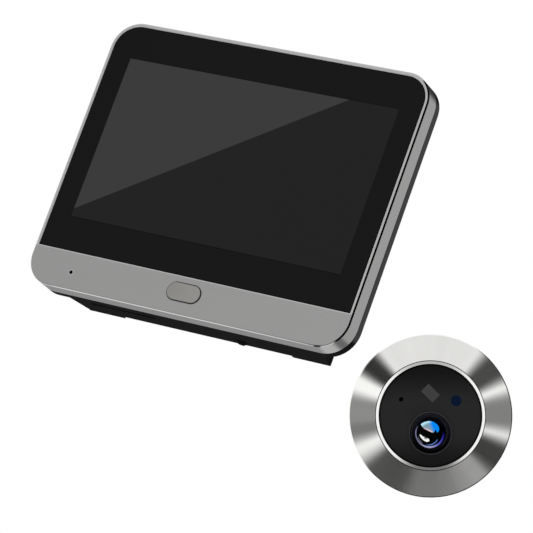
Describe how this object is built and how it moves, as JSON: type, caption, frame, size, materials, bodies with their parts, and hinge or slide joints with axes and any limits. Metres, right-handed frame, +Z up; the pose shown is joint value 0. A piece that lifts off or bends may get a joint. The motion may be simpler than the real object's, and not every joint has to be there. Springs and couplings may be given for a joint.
{
  "type": "peephole door camera",
  "caption": "Indoor monitor with a flat display, chin button and rear door bracket, beside the round outdoor camera head with its threaded barrel, washer and nut.",
  "frame": {"origin": "centre of the door bracket's back face, in the plane of the door", "axes": "+X to the right as the display is viewed, +Y from the display into the door, +Z up"},
  "size_m": [0.1569, 0.0694, 0.1192],
  "materials": {
    "frame_metal": "satin, finely brushed",
    "black_glass": "glossy, printed black behind",
    "display_dark": "dark, switched off",
    "cover_plastic": "fine texture",
    "button_plastic": "satin",
    "rubber_black": "matte",
    "steel": "plain",
    "bezel_metal": "turned and polished",
    "trim_metal": "polished",
    "face_black": "satin black",
    "lens_black": "glossy black",
    "lens_glass": "coated",
    "ir_filter": "smoked",
    "light_filter": "deep blue",
    "circuit_board": "solder mask",
    "chip_black": "moulded",
    "connector_ivory": "moulded",
    "contact_brass": "gold plated",
    "ribbon_amber": "film",
    "battery_foil": "laminated foil",
    "foam_grey": "foam"
  },
  "bodies": {
    "door_side": {"door_bracket": "steel", "bezel_ring": "bezel_metal", "trim_ring": "trim_metal", "face_panel": "face_black", "face_seal": "rubber_black", "lens_ring": "lens_black", "lens_front": "lens_glass", "lens_barrel": "lens_black", "lens_inner": "lens_glass", "lens_holder": "lens_black", "image_sensor": "chip_black", "camera_board": "circuit_board", "ir_window": "ir_filter", "ir_led": "connector_ivory", "light_window": "light_filter", "light_sensor": "chip_black", "head_microphone": "steel", "back_plate": "cover_plastic", "door_barrel": "cover_plastic", "head_screws": "steel", "door_gasket": "rubber_black", "cable_socket": "connector_ivory", "camera_lead": "rubber_black"},
    "monitor": {"front_frame": "frame_metal", "cover_glass": "black_glass", "glass_tape": "foam_grey", "display_gasket": "foam_grey", "display_panel": "display_dark", "display_backlight": "steel", "display_ribbon": "ribbon_amber", "ribbon_connector": "connector_ivory", "battery_pad": "foam_grey", "battery_pack": "battery_foil", "main_board": "circuit_board", "board_chips": "chip_black", "shield_can": "steel", "board_screws": "steel", "camera_socket": "connector_ivory", "socket_pins": "contact_brass", "usb_port": "steel", "wifi_antenna": "chip_black", "speaker": "chip_black", "speaker_gasket": "foam_grey", "key_board": "circuit_board", "key_board_screws": "steel", "key_switch": "chip_black", "microphone": "steel", "mic_boot": "rubber_black", "power_switch": "chip_black", "rear_cover": "cover_plastic", "case_screws": "steel", "rear_pads": "rubber_black"},
    "view_key": {"view_button": "button_plastic", "key_plunger": "connector_ivory"},
    "power_key": {"power_button": "cover_plastic"},
    "washer": {"clamp_washer": "steel"},
    "nut": {"lock_nut": "steel"}
  },
  "joints": [
    {"name": "monitor_lift", "type": "slide", "parent": "door_side", "child": "monitor", "axis": [0, 0, 1], "range_m": [0, 0.006]},
    {"name": "view_press", "type": "slide", "parent": "monitor", "child": "view_key", "axis": [0, 1, 0], "range_m": [0, 0.0005], "stiffness_N_per_m": 300},
    {"name": "power_press", "type": "slide", "parent": "monitor", "child": "power_key", "axis": [0, 0, 1], "range_m": [0, 0.0005], "stiffness_N_per_m": 300},
    {"name": "washer_slide", "type": "slide", "parent": "door_side", "child": "washer", "axis": [-0.4216, 0.8817, 0.2117], "range_m": [0, 0.0201]},
    {"name": "nut_turn", "type": "hinge", "parent": "washer", "child": "nut", "pos_m": [0.07401, 0.01107, -0.04859], "axis": [-0.4216, 0.8817, 0.2117], "range_deg": [0, 4800]}
  ],
  "couplings": [
    {"joint": "washer_slide", "follows": "nut_turn", "m_per_rad": 0.00023873}
  ]
}
